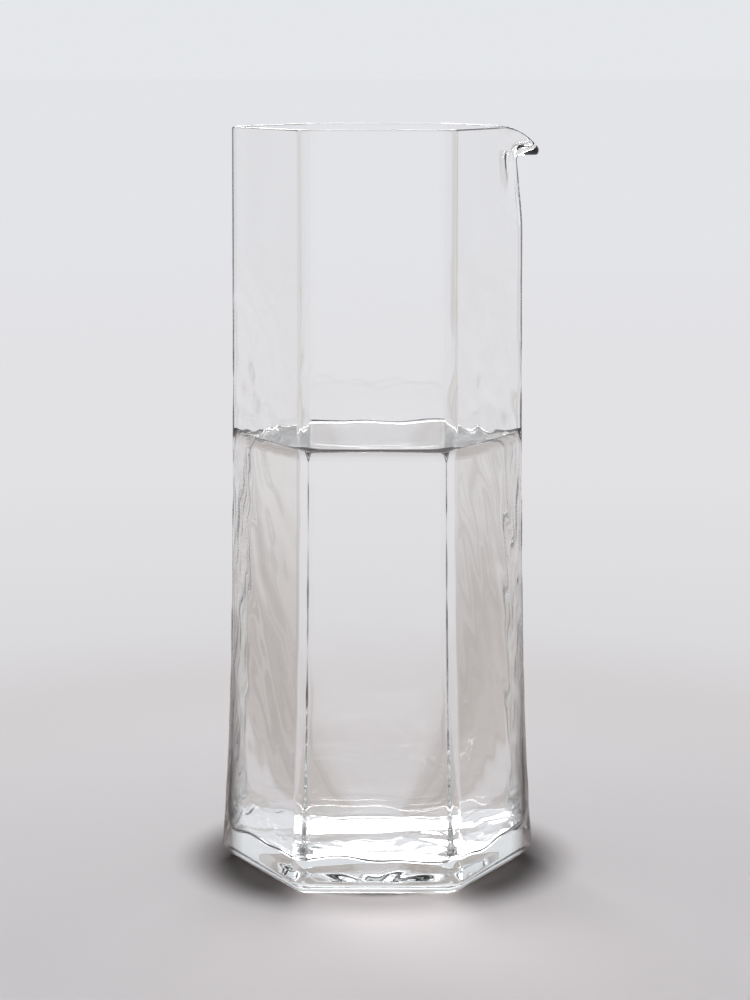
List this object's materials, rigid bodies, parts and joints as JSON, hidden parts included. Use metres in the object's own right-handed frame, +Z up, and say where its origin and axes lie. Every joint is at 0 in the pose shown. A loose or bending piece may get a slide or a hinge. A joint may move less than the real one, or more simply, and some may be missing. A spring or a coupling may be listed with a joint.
{
  "type": "carafe",
  "caption": "Tall six-sided clear glass carafe with flat panes, rounded corners, a thick flared foot and a pouring spout pulled from one corner of the open mouth",
  "frame": {"origin": "centre of the resting plane under the foot", "axes": "+Z up along the carafe, +X towards the corner with the spout, flat panes facing -Y and +Y"},
  "size_m": [0.1048, 0.092, 0.245],
  "materials": {
    "clear_glass": "clear soda-lime glass, blown in a six-sided mould, with a fire-polished rim"
  },
  "bodies": {
    "root": {"carafe_glass": "clear_glass"}
  },
  "joints": []
}
